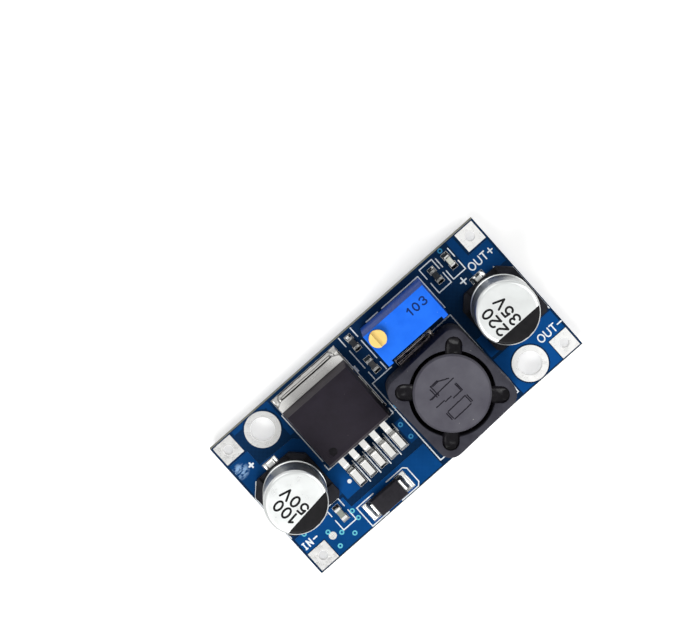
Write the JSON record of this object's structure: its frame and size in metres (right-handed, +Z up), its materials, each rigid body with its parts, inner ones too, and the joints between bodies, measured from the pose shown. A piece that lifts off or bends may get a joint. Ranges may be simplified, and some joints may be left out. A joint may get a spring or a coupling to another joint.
{
  "type": "buck converter module",
  "caption": "Small step-down converter board: five-lead regulator, shielded inductor, adjustable trimmer, can capacitors, diode and wire pads at the corners.",
  "frame": {"origin": "middle of the board's outline, on the plane that the trimmer's solder domes stand on", "axes": "+X along the board from the input to the output pads, +Y across it towards the trimmer and the regulator's tab, +Z up from the component side"},
  "size_m": [0.0432, 0.021, 0.0135],
  "materials": {
    "solder_mask": "blue solder mask over copper and laminate",
    "tinned_copper": "tinned",
    "masked_copper": "copper ring under blue mask",
    "solder": "bright solder",
    "black_epoxy": "moulded epoxy",
    "silicon": "polished",
    "aluminium_wire": "bright",
    "ferrite": "pressed and sintered",
    "enamelled_copper": "enamelled",
    "black_plastic": "moulded",
    "black_glue": "cured glue",
    "blue_plastic": "moulded",
    "brass": "turned",
    "red_rubber": "silicone",
    "white_nylon": "moulded",
    "spring_alloy": "stamped",
    "ceramic": "fired",
    "amber_epoxy": "poured",
    "aluminium_can": "drawn",
    "black_rubber": "moulded",
    "foil_and_paper": "wound",
    "white_resin": "laminate",
    "lamp_resin": "cast resin",
    "chip_glaze": "glazed",
    "grey_ceramic": "fired",
    "tan_ceramic": "fired"
  },
  "bodies": {
    "board": {"circuit_board": "solder_mask", "wire_pads": "tinned_copper", "mounting_rings": "tinned_copper", "hole_rings": "tinned_copper", "via_rings": "masked_copper", "solder_lands": "tinned_copper", "solder_joints": "solder", "pin_solder": "solder", "regulator_body": "black_epoxy", "regulator_tab": "tinned_copper", "regulator_leads": "tinned_copper", "regulator_chip": "silicon", "regulator_straps": "aluminium_wire", "inductor_shield": "ferrite", "inductor_drum": "ferrite", "inductor_winding": "enamelled_copper", "inductor_base": "black_plastic", "inductor_clips": "tinned_copper", "inductor_glue": "black_glue", "trimmer_housing": "blue_plastic", "trimmer_seal_ring": "red_rubber", "trimmer_element": "ceramic", "trimmer_pins": "tinned_copper", "trimmer_seal": "amber_epoxy", "input_cap_can": "aluminium_can", "input_cap_base": "black_plastic", "input_cap_bung": "black_rubber", "input_cap_roll": "foil_and_paper", "input_cap_terminals": "tinned_copper", "output_cap_can": "aluminium_can", "output_cap_base": "black_plastic", "output_cap_bung": "black_rubber", "output_cap_roll": "foil_and_paper", "output_cap_terminals": "tinned_copper", "diode_body": "black_epoxy", "diode_leads": "tinned_copper", "diode_chip": "silicon", "lamp_base": "white_resin", "lamp_lens": "lamp_resin", "lamp_terminals": "tinned_copper", "lamp_resistor": "chip_glaze", "lamp_resistor_caps": "tinned_copper", "divider_resistor": "chip_glaze", "divider_resistor_caps": "tinned_copper", "feedback_resistor": "grey_ceramic", "feedback_resistor_caps": "tinned_copper", "chip_capacitor": "tan_ceramic", "chip_capacitor_caps": "tinned_copper"},
    "screw": {"trimmer_screw": "brass"},
    "rotor": {"trimmer_wheel": "white_nylon", "trimmer_wiper": "spring_alloy"}
  },
  "joints": [
    {"name": "trimmer_screw_turn", "type": "hinge", "parent": "board", "child": "screw", "pos_m": [0.0035, 0.00806, 0.00755], "axis": [0, 0, 1], "range_deg": [-4500, 4500]},
    {"name": "trimmer_rotor_turn", "type": "hinge", "parent": "board", "child": "rotor", "pos_m": [0.00738, 0.00806, 0.00777], "axis": [0, -1, 0], "range_deg": [-132.36, 132.36]}
  ],
  "couplings": [
    {"joint": "trimmer_rotor_turn", "follows": "trimmer_screw_turn", "ratio": 0.029412}
  ]
}
